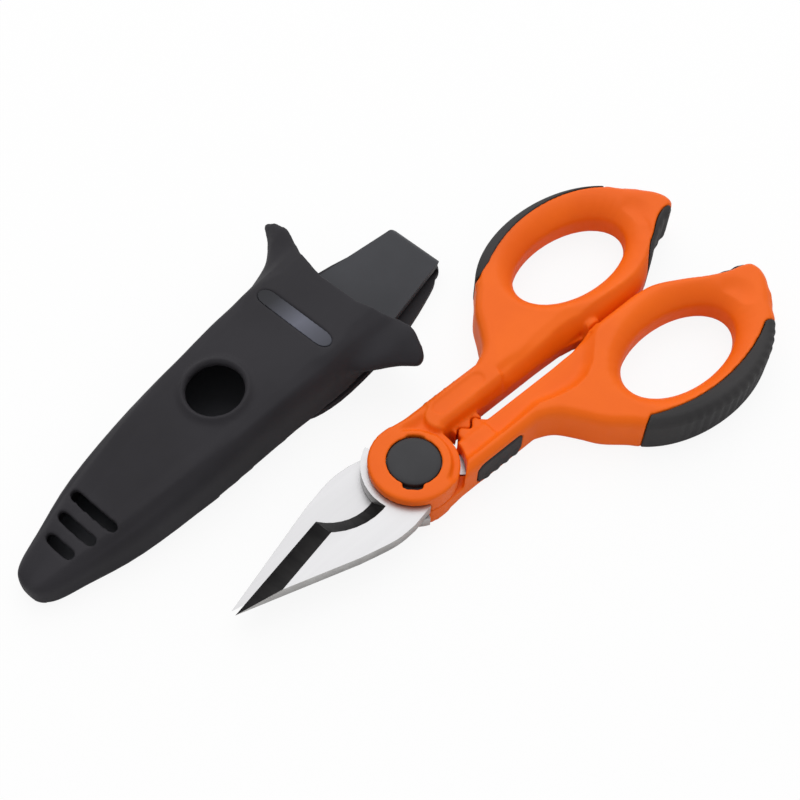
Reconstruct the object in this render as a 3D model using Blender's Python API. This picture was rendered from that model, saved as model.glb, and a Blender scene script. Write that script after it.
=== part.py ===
"""Electrician's scissors lying beside their belt sheath.

The scissors lie flat with the pivot axis on Z: +X runs from the pivot to the handles, and z = 0 is the
table. The two halves are one design turned half round about X, so each half is built in its own frame and
the lower half hangs on a parent empty that is turned over. The sheath is built in its own frame too.
"""
import math

import bmesh
import bpy
from mathutils import Matrix, Vector

MM = 0.001

# Clearances
SEAT_GAP = 0.3 * MM
FIT_GAP = 0.15 * MM
WELD_GAP = 0.001 * MM

# Blade stock, and the play between the faces that slide in the pivot's stack
BLADE_THICKNESS = 3.2 * MM
BLADE_PLAY = 0.1 * MM

# Blade, seen from above in the upper half's frame
TIP_X = -53.5 * MM
TIP_Y = -0.7 * MM
EDGE_HEEL_X = -25.2 * MM
EDGE_HEEL_Y = 5.3 * MM
EDGE_BEVEL_ANGLE = math.radians(30.0)
NOTCH_X = -15.5 * MM
NOTCH_Y = 12.0 * MM
NOTCH_RADIUS = 11.8 * MM
NOTCH_BEVEL = 4.2 * MM
BACK_X = -16.0 * MM
BACK_Y = -11.5 * MM
BACK_BEND_X = -25.0 * MM
BACK_BEND_Y = -9.5 * MM
HEEL_X = -4.2 * MM
HEEL_Y = -10.3 * MM
RIDE_RADIUS = 12.4 * MM
RIDE_START = math.radians(114.0)
BLADE_EYE_RADIUS = 9.4 * MM
TANG_LENGTH = 46.0 * MM
TANG_WIDTH = 5.0 * MM

# Pivot
BOLT_RADIUS = 3.5 * MM
BOLT_HEAD_RIM = 1.1 * MM
BOLT_HEAD_HEIGHT = 1.2 * MM
RING_RIM = 1.2 * MM
NUT_HEIGHT = 0.9 * MM
WASHER_THICKNESS = 0.45 * MM
CAP_ROOM = 0.75 * MM
CAP_SKIRT = 0.9 * MM
CAP_THICKNESS = 1.05 * MM
CAP_LUG_REACH = 1.2 * MM
CAP_LUG_WIDTH = 4.4 * MM
CAP_LUG_HEIGHT = 0.7 * MM
CAP_LUG_TURN = math.radians(135.0)
CAP_SLOT_TURN = math.radians(45.0)

# Handle, seen from above in the upper half's frame
HUB_RADIUS = 10.8 * MM
HUB_SLIT = 1.4 * MM
SHANK_OUTER_Y = 10.7 * MM
SHANK_GAP = 3.5 * MM
SHANK_END_X = 30.0 * MM
CRIMP_START_X = 13.8 * MM
CRIMP_END_X = 21.6 * MM
CRIMP_TOOTH_PITCH = 4.4 * MM
CRIMP_TOOTH_HEIGHT = 0.9 * MM
CRIMP_TOOTH_X = 17.4 * MM
CRIMP_INSET = 0.5 * MM
HANDLES_MEET_X = 58.0 * MM
LOOP_X = 71.4 * MM
LOOP_Y = 18.6 * MM
LOOP_HALF_LENGTH = 17.9 * MM
LOOP_HALF_WIDTH = 10.1 * MM
LOOP_FLARE = 6.0 * MM
LOOP_FLARE_DEPTH = 4.2 * MM
RIM_SIDE = 8.9 * MM
RIM_END = 10.6 * MM
RIM_ARC_START = math.radians(18.0)
RIM_ARC_END = math.radians(155.0)
HOOK_REACH_X = 33.6 * MM
HOOK_DROP_Y = 3.6 * MM
HANDLE_EDGE = 1.5 * MM
LEDGE_DEPTH = 2.2 * MM
LEDGE_Y = 7.4 * MM
LEDGE_BULGE = 2.6 * MM
LEDGE_BULGE_X = 43.0 * MM
LEDGE_END_X = 57.5 * MM

# Soft grips let into the handles
LOOP_GRIP_BACK_RIM = 3.6 * MM
LOOP_GRIP_FRONT_RIM = 6.9 * MM
LOOP_GRIP_START = math.radians(24.0)
LOOP_GRIP_END = math.radians(156.5)
TIP_GRIP_DEPTH = 2.8 * MM
TIP_GRIP_MARGIN = 1.0 * MM
SHANK_GRIP_START_X = 10.8 * MM
SHANK_GRIP_LENGTH = 14.4 * MM
SHANK_GRIP_DEPTH = 1.0 * MM
SHANK_GRIP_HEIGHT = 8.2 * MM
SHANK_GRIP_MARGIN = 1.9 * MM
SHANK_GRIP_CORNER = 2.0 * MM

# Sheath, in its own frame: X from its tip to its mouth, Y across, Z up from its back
SHEATH_TIP_X = -83.5 * MM
SHEATH_TIP_Y = 35.6 * MM
SHEATH_YAW = math.radians(6.3)
SHEATH_LENGTH = 104.0 * MM
SHEATH_HALF_WIDTH = 16.1 * MM
SHEATH_HEIGHT = 16.4 * MM
SHEATH_WALL = 1.5 * MM
SHEATH_SECTION_POWER = 5.5
BACK_THICKNESS = 1.8 * MM
THUMB_HOLE_FROM_MOUTH = 42.3 * MM
THUMB_HOLE_RADIUS = 7.6 * MM
DRAIN_SLOT_FIRST_X = 11.3 * MM
DRAIN_SLOT_PITCH = 5.2 * MM
DRAIN_SLOT_WIDTH = 3.3 * MM
DRAIN_SLOT_MARGIN = 3.6 * MM
LABEL_FROM_MOUTH = 16.0 * MM
LABEL_WIDTH = 5.6 * MM
LABEL_LENGTH = 21.5 * MM
LABEL_RECESS = 0.8 * MM
LABEL_THICKNESS = 0.35 * MM
EAR_REACH = 13.2 * MM
EAR_LENGTH = 20.0 * MM
EAR_MIDDLE_Z = 9.4 * MM
EAR_SPREAD_Z = 3.2 * MM

# Belt clip
STRAP_LENGTH = 28.5 * MM
STRAP_ROOT_HALF_WIDTH = 12.4 * MM
STRAP_END_HALF_WIDTH = 8.3 * MM
CLIP_BEND_GAP = 2.4 * MM
CLIP_LEG_LENGTH = 56.0 * MM
CLIP_LEG_HALF_WIDTH = 16.0 * MM

# Smoothness of round outlines
ROUND_STEPS = 40
CURVE_STEPS = 4
SIDE_STEPS = 10
TOP_STEPS = 10
SHARP_ANGLE = math.radians(35.0)

HUB_CLEAR_RADIUS = HUB_RADIUS + HUB_SLIT
RING_RADIUS = BOLT_RADIUS + RING_RIM
CAP_RADIUS = RING_RADIUS + CAP_ROOM + CAP_SKIRT
HALF_HEIGHT = BLADE_THICKNESS + WASHER_THICKNESS + NUT_HEIGHT + CAP_THICKNESS + 4 * BLADE_PLAY
FULL_HEIGHT = 2 * HALF_HEIGHT
BLADE_BOTTOM = HALF_HEIGHT + BLADE_PLAY
BLADE_TOP = BLADE_BOTTOM + BLADE_THICKNESS
TANG_Y = (SHANK_GAP / 2 + SHANK_OUTER_Y) / 2
MEET_Y = SEAT_GAP / 2 + FIT_GAP
HOOK_X = LOOP_X + HOOK_REACH_X
HOOK_Y = LOOP_Y - HOOK_DROP_Y
CAP_SEAT = FULL_HEIGHT - CAP_THICKNESS
BEND_INNER = CLIP_BEND_GAP / 2
BEND_OUTER = BEND_INNER + BACK_THICKNESS
BEND_X = SHEATH_LENGTH + STRAP_LENGTH - BEND_OUTER
SHEATH_PITCH = math.atan((CLIP_BEND_GAP + BACK_THICKNESS) / BEND_X)
SHELL_FOOT = BACK_THICKNESS + SEAT_GAP
THUMB_HOLE_X = SHEATH_LENGTH - THUMB_HOLE_FROM_MOUTH
LABEL_X = SHEATH_LENGTH - LABEL_FROM_MOUTH


def collection(name):
    group = bpy.data.collections.new(name)
    bpy.context.scene.collection.children.link(group)
    return group


def material(name, colour, roughness, metallic=0.0):
    made = bpy.data.materials.new(name)
    made.use_nodes = True
    shader = made.node_tree.nodes["Principled BSDF"]
    shader.inputs["Base Color"].default_value = (*colour, 1.0)
    shader.inputs["Roughness"].default_value = roughness
    shader.inputs["Metallic"].default_value = metallic
    made.diffuse_color = (*colour, 1.0)
    return made


def empty(name, parent=None):
    holder = bpy.data.objects.new(name, None)
    PARTS.objects.link(holder)
    holder.parent = parent
    return holder


def evaluated_mesh(source):
    bpy.context.view_layer.update()
    graph = bpy.context.evaluated_depsgraph_get()
    return bpy.data.meshes.new_from_object(source.evaluated_get(graph))


def solid_from(name, source, matrix=Matrix()):
    """A mesh object of what the source evaluates to, welded and with its faces outwards."""
    mesh = evaluated_mesh(source)
    shape = bmesh.new()
    shape.from_mesh(mesh)
    bmesh.ops.transform(shape, matrix=matrix, verts=shape.verts)
    bmesh.ops.remove_doubles(shape, verts=shape.verts, dist=WELD_GAP)
    bmesh.ops.recalc_face_normals(shape, faces=shape.faces)
    shape.to_mesh(mesh)
    shape.free()
    mesh.materials.clear()
    bpy.data.objects.remove(source)
    made = bpy.data.objects.new(name, mesh)
    WORKSHOP.objects.link(made)
    return made


def outline_solid(name, outlines, bottom, top, grow=0.0, edge=0.0):
    """A plate between two heights: the first outline is its rim, any others are holes."""
    curve = bpy.data.curves.new(name, "CURVE")
    curve.dimensions = "2D"
    curve.fill_mode = "BOTH"
    curve.extrude = (top - bottom) / 2 - edge
    curve.bevel_depth = edge
    curve.bevel_resolution = 1
    curve.offset = grow - edge
    for points in outlines:
        spline = curve.splines.new("POLY")
        spline.points.add(len(points) - 1)
        for point, place in zip(spline.points, points):
            point.co = (place[0], place[1], 0.0, 1.0)
        spline.use_cyclic_u = True
    source = bpy.data.objects.new(name, curve)
    WORKSHOP.objects.link(source)
    return solid_from(name, source, Matrix.Translation((0, 0, (bottom + top) / 2)))


def round_bar(name, radius, bottom, top, end_radius=None, place=(0.0, 0.0)):
    shape = bmesh.new()
    bmesh.ops.create_cone(
        shape, cap_ends=True, segments=ROUND_STEPS, radius1=radius,
        radius2=radius if end_radius is None else end_radius, depth=top - bottom)
    middle = Matrix.Translation((*place, (bottom + top) / 2))
    bmesh.ops.transform(shape, matrix=middle, verts=shape.verts)
    return mesh_object(name, shape)


def box(name, low, high, matrix=Matrix()):
    shape = bmesh.new()
    bmesh.ops.create_cube(shape, size=1.0)
    low, high = Vector(low), Vector(high)
    size = Matrix.Diagonal((*(high - low), 1.0))
    place = matrix @ Matrix.Translation((low + high) / 2) @ size
    bmesh.ops.transform(shape, matrix=place, verts=shape.verts)
    return mesh_object(name, shape)


def mesh_object(name, shape):
    mesh = bpy.data.meshes.new(name)
    shape.to_mesh(mesh)
    shape.free()
    made = bpy.data.objects.new(name, mesh)
    WORKSHOP.objects.link(made)
    return made


def boolean(target, tool, operation):
    """Cut, join or intersect with a tool that is used up; the exact solver loses these rounded plates."""
    step = target.modifiers.new(operation.lower(), "BOOLEAN")
    step.operation = operation
    step.solver = "MANIFOLD"
    step.object = tool
    cut = evaluated_mesh(target)
    target.modifiers.clear()
    target.data = cut
    bpy.data.objects.remove(tool)
    return target


def copy_of(source, name):
    twin = bpy.data.objects.new(name, source.data.copy())
    WORKSHOP.objects.link(twin)
    return twin


def finish(piece, name, parent, look):
    """Name a finished piece, hang it on its parent and move it to the part's collection."""
    WORKSHOP.objects.unlink(piece)
    PARTS.objects.link(piece)
    piece.name = name
    piece.data.name = name
    piece.parent = parent
    piece.data.materials.clear()
    piece.data.materials.append(look)
    piece.data.shade_smooth()
    piece.data.set_sharp_from_angle(angle=SHARP_ANGLE)
    return piece


def arc(centre, radii, start, end, steps):
    points = []
    for step in range(steps + 1):
        angle = start + (end - start) * step / steps
        points.append((centre[0] + radii[0] * math.cos(angle), centre[1] + radii[1] * math.sin(angle)))
    return points


def oval(centre, radii):
    return arc(centre, radii, 0.0, 2 * math.pi, ROUND_STEPS)[:-1]


def smooth(points):
    """A Catmull-Rom curve through the points, without its two end points doubled."""
    line = []
    guide = [points[0], *points, points[-1]]
    for before, start, end, after in zip(guide, guide[1:], guide[2:], guide[3:]):
        for step in range(CURVE_STEPS):
            t = step / CURVE_STEPS
            place = []
            for p0, p1, p2, p3 in zip(before, start, end, after):
                place.append(0.5 * (2 * p1 + (p2 - p0) * t + (2 * p0 - 5 * p1 + 4 * p2 - p3) * t ** 2
                                    + (3 * p1 - p0 - 3 * p2 + p3) * t ** 3))
            line.append(tuple(place))
    return line + [points[-1]]


def blade_outline():
    """The blade from its tip along the edge, round the ride and the eye, and back along its spine."""
    tang_top = TANG_Y + TANG_WIDTH / 2
    tang_low = TANG_Y - TANG_WIDTH / 2
    heel_angle = math.atan2(HEEL_Y, HEEL_X)
    ride_end = math.pi - math.asin(EDGE_HEEL_Y / RIDE_RADIUS)
    points = [(TIP_X, TIP_Y), (EDGE_HEEL_X, EDGE_HEEL_Y)]
    points += arc((0, 0), (RIDE_RADIUS, RIDE_RADIUS), ride_end, RIDE_START, 6)
    points += arc((0, 0), (BLADE_EYE_RADIUS, BLADE_EYE_RADIUS), RIDE_START,
                  math.atan2(tang_top, BLADE_EYE_RADIUS), 6)
    points += [(BLADE_EYE_RADIUS, tang_top), (TANG_LENGTH, tang_top), (TANG_LENGTH, tang_low)]
    points += arc((0, 0), (BLADE_EYE_RADIUS, BLADE_EYE_RADIUS), math.atan2(tang_low, BLADE_EYE_RADIUS),
                  heel_angle, 12)
    points += [(HEEL_X, HEEL_Y)]
    spine_dip = ((BACK_X + HEEL_X) / 2, BACK_Y)
    points += smooth([spine_dip, (BACK_X, BACK_Y), (BACK_BEND_X, BACK_BEND_Y)])
    return points


def blade(name, notched):
    """One steel blade: flat inside, ground to an edge outside, with an eye and a tang for the handle."""
    steel = outline_solid(name, [blade_outline()], BLADE_BOTTOM, BLADE_TOP)
    along = Vector((EDGE_HEEL_X - TIP_X, EDGE_HEEL_Y - TIP_Y, 0.0))
    length = along.length
    along.normalize()
    across = Vector((0, 0, 1)).cross(along)
    slope = across * math.cos(EDGE_BEVEL_ANGLE) - Vector((0, 0, 1)) * math.sin(EDGE_BEVEL_ANGLE)
    facing = along.cross(slope)
    frame = Matrix((along, slope, facing)).transposed().to_4x4()
    frame.translation = (TIP_X, TIP_Y, BLADE_BOTTOM)
    reach = 3 * BLADE_THICKNESS
    past = 0.0 if notched else NOTCH_RADIUS / 2
    grind = box(name + "_grind", (-reach, -reach, 0), (length + past + FIT_GAP, reach, reach), frame)
    boolean(steel, grind, "DIFFERENCE")
    if notched:
        rise = NOTCH_BEVEL / BLADE_THICKNESS
        foot = BLADE_BOTTOM - SEAT_GAP
        head = BLADE_TOP + SEAT_GAP
        notch = round_bar(name + "_notch", NOTCH_RADIUS - SEAT_GAP * rise, foot, head,
                          NOTCH_RADIUS + (BLADE_THICKNESS + SEAT_GAP) * rise, (NOTCH_X, NOTCH_Y))
        ride = round_bar(name + "_ride", RIDE_RADIUS, foot - SEAT_GAP, head + SEAT_GAP)
        boolean(notch, ride, "DIFFERENCE")
        boolean(steel, notch, "DIFFERENCE")
    eye = round_bar(name + "_eye", BOLT_RADIUS + FIT_GAP, BLADE_BOTTOM - SEAT_GAP, BLADE_TOP + SEAT_GAP)
    return boolean(steel, eye, "DIFFERENCE")


def hook_inner_line():
    """The inner side of the handle's end, from where the handles meet to just before the hook's point."""
    start_x = LOOP_X + LOOP_HALF_LENGTH * 0.15
    shares = ((0.0, 0.0), (0.17, 0.05), (0.30, 0.16), (0.45, 0.34), (0.61, 0.56), (0.76, 0.72), (0.93, 0.83))
    return [(start_x + (HOOK_X - start_x) * along, MEET_Y + (HOOK_Y - MEET_Y) * up) for along, up in shares]


def rim_outer_line():
    """The outer side of the handle, from the hook's point round the loop and down to the shank."""
    rim = arc((LOOP_X, LOOP_Y), (LOOP_HALF_LENGTH + RIM_END, LOOP_HALF_WIDTH + RIM_SIDE),
              RIM_ARC_START, RIM_ARC_END, 10)
    shoulder = ((HOOK_X + rim[0][0]) / 2 + HANDLE_EDGE, (HOOK_Y + rim[0][1]) / 2)
    run = rim[-1][0] - SHANK_END_X
    rise = rim[-1][1] - SHANK_OUTER_Y
    shares = ((0.70, 0.72), (0.50, 0.42), (0.28, 0.14), (0.0, 0.0))
    fillet = [(SHANK_END_X + run * along, SHANK_OUTER_Y + rise * up) for along, up in shares]
    return [(HOOK_X, HOOK_Y), shoulder] + rim + fillet


def crimp_block(name, tooth_side):
    """The toothed crimping block; the two handles' teeth mesh, so their sides differ."""
    points = []
    steps = 16
    for step in range(steps + 1):
        x = CRIMP_START_X + (CRIMP_END_X - CRIMP_START_X) * step / steps
        wave = math.cos(2 * math.pi * (x - CRIMP_TOOTH_X) / CRIMP_TOOTH_PITCH)
        points.append((x, MEET_Y - tooth_side * CRIMP_TOOTH_HEIGHT * wave))
    root_y = SHANK_GAP / 2 + HANDLE_EDGE
    points += [(CRIMP_END_X, root_y), (CRIMP_START_X, root_y)]
    return outline_solid(name, [points], CRIMP_INSET, FULL_HEIGHT - CRIMP_INSET)


def handle_outline():
    inner_y = SHANK_GAP / 2
    points = [(0.0, inner_y)]
    points += smooth([(HANDLES_MEET_X - 2 * SHANK_GAP, inner_y),
                      (HANDLES_MEET_X - SHANK_GAP / 2, inner_y / 2), (HANDLES_MEET_X, MEET_Y)])
    points += smooth(hook_inner_line() + rim_outer_line())
    points += [(0.0, SHANK_OUTER_Y)]
    return points


def loop_oval(spread):
    """The finger hole's outline, drawn wider by a spread."""
    return oval((LOOP_X, LOOP_Y), (LOOP_HALF_LENGTH + spread, LOOP_HALF_WIDTH + spread))


def loop_flare(name, face, outwards):
    """A cutter that opens the finger hole like a funnel towards one face of the handle."""
    shape = bmesh.new()
    rings = []
    for depth in (-SEAT_GAP, LOOP_FLARE_DEPTH + SEAT_GAP):
        spread = LOOP_FLARE * (1 - depth / LOOP_FLARE_DEPTH)
        z = face - outwards * depth
        rings.append([shape.verts.new((*point, z)) for point in loop_oval(spread)])
        shape.faces.new(rings[-1])
    for low, high, low_after, high_after in zip(rings[0], rings[1], rings[0][1:] + rings[0][:1],
                                                rings[1][1:] + rings[1][:1]):
        shape.faces.new((low, high, high_after, low_after))
    bmesh.ops.recalc_face_normals(shape, faces=shape.faces)
    return mesh_object(name, shape)


def ledge_outline():
    """The lower ledge on the handle's back: straight along the shank, then bulging before the loop."""
    bulge_y = LEDGE_Y + LEDGE_BULGE
    run = LEDGE_END_X - LEDGE_BULGE_X
    shares = ((0.0, 1.0), (0.38, 0.90), (0.62, 0.67), (0.83, 0.39), (1.0, 0.0))
    bend = [(LEDGE_BULGE_X + run * along, bulge_y * up) for along, up in shares]
    line = [(CRIMP_END_X, -LEDGE_Y), (CRIMP_END_X, LEDGE_Y)]
    return line + smooth([(SHANK_END_X, LEDGE_Y)] + bend + [(LEDGE_END_X, -LEDGE_Y)])


def handle_body(name, tooth_side):
    """The handle before anything is let into it: loop, shank, and the hub over the blade's eye."""
    loop = loop_oval(0.0)
    body = outline_solid(name, [handle_outline(), loop], 0.0, FULL_HEIGHT, edge=HANDLE_EDGE)
    for face, outwards in ((0.0, -1), (FULL_HEIGHT, 1)):
        boolean(body, loop_flare(name + "_flare", face, outwards), "DIFFERENCE")
    room = round_bar(name + "_room", HUB_CLEAR_RADIUS, -SEAT_GAP, BLADE_BOTTOM)
    boolean(body, crimp_block(name + "_crimp", tooth_side), "UNION")
    boolean(body, room, "DIFFERENCE")
    hub = round_bar(name + "_hub", HUB_RADIUS, BLADE_BOTTOM, FULL_HEIGHT)
    boolean(body, hub, "UNION")
    ledge = outline_solid(name + "_ledge", [ledge_outline()], -SEAT_GAP, LEDGE_DEPTH)
    return boolean(body, ledge, "DIFFERENCE")


def loop_grip_zone(name, grow=0.0):
    """The outer crescent of the loop, where its soft grip sits; it is wider on the handle's back."""
    centre = (LOOP_X, LOOP_Y)
    reach = 2 * (LOOP_HALF_LENGTH + RIM_END)
    sector = [centre] + arc(centre, (reach, reach), LOOP_GRIP_START, LOOP_GRIP_END, 8)
    zone = outline_solid(name, [sector], -SEAT_GAP, FULL_HEIGHT + SEAT_GAP, grow=grow)
    for rim, foot in ((LOOP_GRIP_FRONT_RIM, HALF_HEIGHT + grow), (LOOP_GRIP_BACK_RIM, -2 * SEAT_GAP)):
        inner = oval(centre, (LOOP_HALF_LENGTH + RIM_END, LOOP_HALF_WIDTH + rim))
        core = outline_solid(name + "_core", [inner], foot, FULL_HEIGHT + 2 * SEAT_GAP, grow=-grow)
        boolean(zone, core, "DIFFERENCE")
    return zone


def tip_grip_zone(name, grow=0.0):
    """A crescent along the inner side of the hook, which comes up onto the handle's front."""
    line = smooth(hook_inner_line()[2:])
    inside = []
    for number, (x, y) in enumerate(line):
        share = number / (len(line) - 1)
        swell = (1 - (1 - share) ** 3) * (1 - share ** 16)
        inside.append((x, y + TIP_GRIP_DEPTH * swell - SEAT_GAP))
    outside = [(x, y - TIP_GRIP_DEPTH) for x, y in line]
    return outline_solid(name, [inside + outside[::-1]], TIP_GRIP_MARGIN - grow, FULL_HEIGHT + SEAT_GAP,
                         grow=grow)


def shank_grip_zone(name, grow=0.0):
    """A pad on the outer wall of the shank."""
    corner = SHANK_GRIP_CORNER
    top = FULL_HEIGHT - SHANK_GRIP_MARGIN - corner
    foot = top - SHANK_GRIP_HEIGHT + 2 * corner
    start_x = SHANK_GRIP_START_X + corner
    end_x = start_x + SHANK_GRIP_LENGTH - 2 * corner
    outline = []
    for turn, centre in enumerate(((end_x, top), (start_x, top), (start_x, foot), (end_x, foot))):
        outline += arc(centre, (corner, corner), turn * math.pi / 2, (turn + 1) * math.pi / 2, 4)
    pad = outline_solid(name, [outline], -SHANK_OUTER_Y - SHANK_GRIP_DEPTH,
                        SHANK_GRIP_DEPTH + grow - SHANK_OUTER_Y, grow=grow)
    pad.data.transform(Matrix.Rotation(math.pi / 2, 4, "X"))
    return pad


def lug_bars(name, turn, width, reach, bottom, top):
    """A round-ended bar across the pivot that makes two lugs, or the two slots that let them in."""
    around = Matrix.Rotation(turn, 4, "Z")
    bar = box(name, (-2 * reach, -width / 2, bottom), (2 * reach, width / 2, top), around)
    ends = round_bar(name + "_ends", reach, bottom - SEAT_GAP, top + SEAT_GAP)
    return boolean(bar, ends, "INTERSECT")


def open_hub(handle, name):
    """Let the blade, the cap and what it covers into the handle's hub."""
    seat = outline_solid(name + "_seat", [blade_outline()], BLADE_BOTTOM - SEAT_GAP, BLADE_TOP + FIT_GAP,
                         grow=FIT_GAP)
    boolean(handle, seat, "DIFFERENCE")
    lug_radius = CAP_RADIUS + CAP_LUG_REACH + FIT_GAP
    groove = round_bar(name + "_groove", lug_radius, BLADE_TOP, CAP_SEAT)
    boolean(handle, groove, "DIFFERENCE")
    mouth = round_bar(name + "_mouth", CAP_RADIUS + FIT_GAP, BLADE_TOP + FIT_GAP, FULL_HEIGHT + SEAT_GAP)
    boolean(handle, mouth, "DIFFERENCE")
    slots = lug_bars(name + "_slots", CAP_SLOT_TURN, CAP_LUG_WIDTH + 2 * FIT_GAP, lug_radius,
                     CAP_SEAT - SEAT_GAP, FULL_HEIGHT + SEAT_GAP)
    return boolean(handle, slots, "DIFFERENCE")


def half(prefix, tooth_side, notched, parent):
    """One half of the scissors: blade, handle, three soft grips and the cap over the pivot."""
    finish(blade(prefix + "_blade", notched), prefix + "_blade", parent, STEEL)
    body = handle_body(prefix + "_handle", tooth_side)
    zones = (("loop_grip", loop_grip_zone), ("tip_grip", tip_grip_zone), ("shank_grip", shank_grip_zone))
    grips = []
    for title, zone in zones:
        name = prefix + "_" + title
        grips.append((name, boolean(copy_of(body, name), zone(name + "_zone"), "INTERSECT")))
    for title, zone in zones:
        boolean(body, zone(prefix + "_" + title + "_room", FIT_GAP), "DIFFERENCE")
    finish(open_hub(body, prefix + "_handle"), prefix + "_handle", parent, ORANGE)
    for name, grip in grips:
        finish(grip, name, parent, RUBBER)
    finish(pivot_cap(prefix + "_pivot_cap"), prefix + "_pivot_cap", parent, BLACK)


def pivot_cap(name):
    """A bayonet cap: a disc, a skirt round the nut, and two lugs turned in under the hub's lip."""
    foot = BLADE_TOP + SEAT_GAP
    cap = round_bar(name, CAP_RADIUS, foot, FULL_HEIGHT)
    lug_top = CAP_SEAT - FIT_GAP
    lugs = lug_bars(name + "_lugs", CAP_LUG_TURN, CAP_LUG_WIDTH, CAP_RADIUS + CAP_LUG_REACH,
                    lug_top - CAP_LUG_HEIGHT, lug_top)
    boolean(cap, lugs, "UNION")
    hollow = round_bar(name + "_hollow", CAP_RADIUS - CAP_SKIRT, foot - SEAT_GAP, CAP_SEAT)
    return boolean(cap, hollow, "DIFFERENCE")


def pivot(parent):
    """The bolt through both blades, with a spring washer and a nut under the upper cap."""
    low_face = FULL_HEIGHT - BLADE_TOP - BLADE_PLAY
    washer_foot = BLADE_TOP + BLADE_PLAY
    washer_top = washer_foot + WASHER_THICKNESS
    nut_foot = washer_top + BLADE_PLAY
    nut_top = nut_foot + NUT_HEIGHT
    bolt = round_bar("pivot_bolt", BOLT_RADIUS, low_face - BOLT_HEAD_HEIGHT, nut_top)
    head_radius = BOLT_RADIUS + BOLT_HEAD_RIM
    head = round_bar("pivot_bolt_head", head_radius, low_face - BOLT_HEAD_HEIGHT, low_face)
    boolean(bolt, head, "UNION")
    finish(bolt, "pivot_bolt", parent, STEEL)
    for name, foot, top in (("spring_washer", washer_foot, washer_top), ("pivot_nut", nut_foot, nut_top)):
        ring = round_bar(name, RING_RADIUS, foot, top)
        bore = round_bar(name + "_bore", BOLT_RADIUS + FIT_GAP, foot - SEAT_GAP, top + SEAT_GAP)
        boolean(ring, bore, "DIFFERENCE")
        finish(ring, name, parent, STEEL)


def sheath_stations():
    """Places along the sheath, each with its half width, front height and the reach of its ears."""
    shares = ((0.0, 0.12, 0.30), (0.012, 0.25, 0.38), (0.04, 0.36, 0.44), (0.10, 0.475, 0.51),
              (0.235, 0.72, 0.67), (0.43, 0.87, 0.85), (0.62, 0.92, 0.96))
    body = [(SHEATH_LENGTH * along, SHEATH_HALF_WIDTH * wide, SHEATH_HEIGHT * high, 0.0)
            for along, wide, high in shares]
    flare = ((1.0, 0.0), (0.72, 0.12), (0.45, 0.34), (0.22, 0.65), (0.06, 0.97), (0.0, 0.95))
    mouth = [(SHEATH_LENGTH - EAR_LENGTH * back, SHEATH_HALF_WIDTH, SHEATH_HEIGHT, EAR_REACH * out)
             for back, out in flare]
    return smooth(body + mouth)


def at_station(place):
    """Half width and front height of the sheath at a distance from its tip."""
    stations = sheath_stations()
    for before, after in zip(stations, stations[1:]):
        if place <= after[0]:
            t = (place - before[0]) / (after[0] - before[0])
            return tuple(a + (b - a) * t for a, b in zip(before[1:3], after[1:3]))
    return stations[-1][1:3]


def sheath_section(along, half_width, height, foot, ear):
    """An arch of straight sides and a flat top with round corners; ears swell out of the sides' middle."""
    power = SHEATH_SECTION_POWER
    corner = 0.5 ** (1 / power)
    rises = [corner * step / SIDE_STEPS for step in range(SIDE_STEPS)]
    spans = [corner * (1 - 2 * step / TOP_STEPS) for step in range(TOP_STEPS + 1)]
    side = [((1 - up ** power) ** (1 / power), up) for up in rises]
    top = [(across, (1 - abs(across) ** power) ** (1 / power)) for across in spans]
    points = []
    for across, up in side + top + [(-across, up) for across, up in reversed(side)]:
        z = foot + (height - foot) * up
        swell = ear * math.exp(-((z - EAR_MIDDLE_Z) / EAR_SPREAD_Z) ** 2)
        points.append((along, half_width * across + math.copysign(swell, across) * abs(across), z))
    return points


def sheath_loft(name, wall, foot, past):
    """A closed loft of the sheath's form; with a wall it is the core, drawn in and without ears."""
    stations = [place for place in sheath_stations() if place[0] > wall]
    mouth = stations[-1]
    stations[-1] = (mouth[0] + past, *mouth[1:])
    if not wall:
        stations.insert(0, sheath_stations()[0])
    shape = bmesh.new()
    rings = []
    for along, half_width, height, ear in stations:
        section = sheath_section(along, half_width - wall, height - wall, foot, 0.0 if wall else ear)
        rings.append([shape.verts.new(point) for point in section])
    shape.faces.new(rings[0])
    shape.faces.new(rings[-1])
    for ring, after in zip(rings, rings[1:]):
        for low, high, low_after, high_after in zip(ring, ring[1:] + ring[:1], after, after[1:] + after[:1]):
            shape.faces.new((low, high, high_after, low_after))
    bmesh.ops.recalc_face_normals(shape, faces=shape.faces)
    return mesh_object(name, shape)


def slot_outline(place, half_length, width):
    """An outline with round ends, lying across the sheath."""
    reach = half_length - width / 2
    ends = arc((place, reach), (width / 2, width / 2), 0.0, math.pi, 8)
    return ends + arc((place, -reach), (width / 2, width / 2), math.pi, 2 * math.pi, 8)


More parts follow.
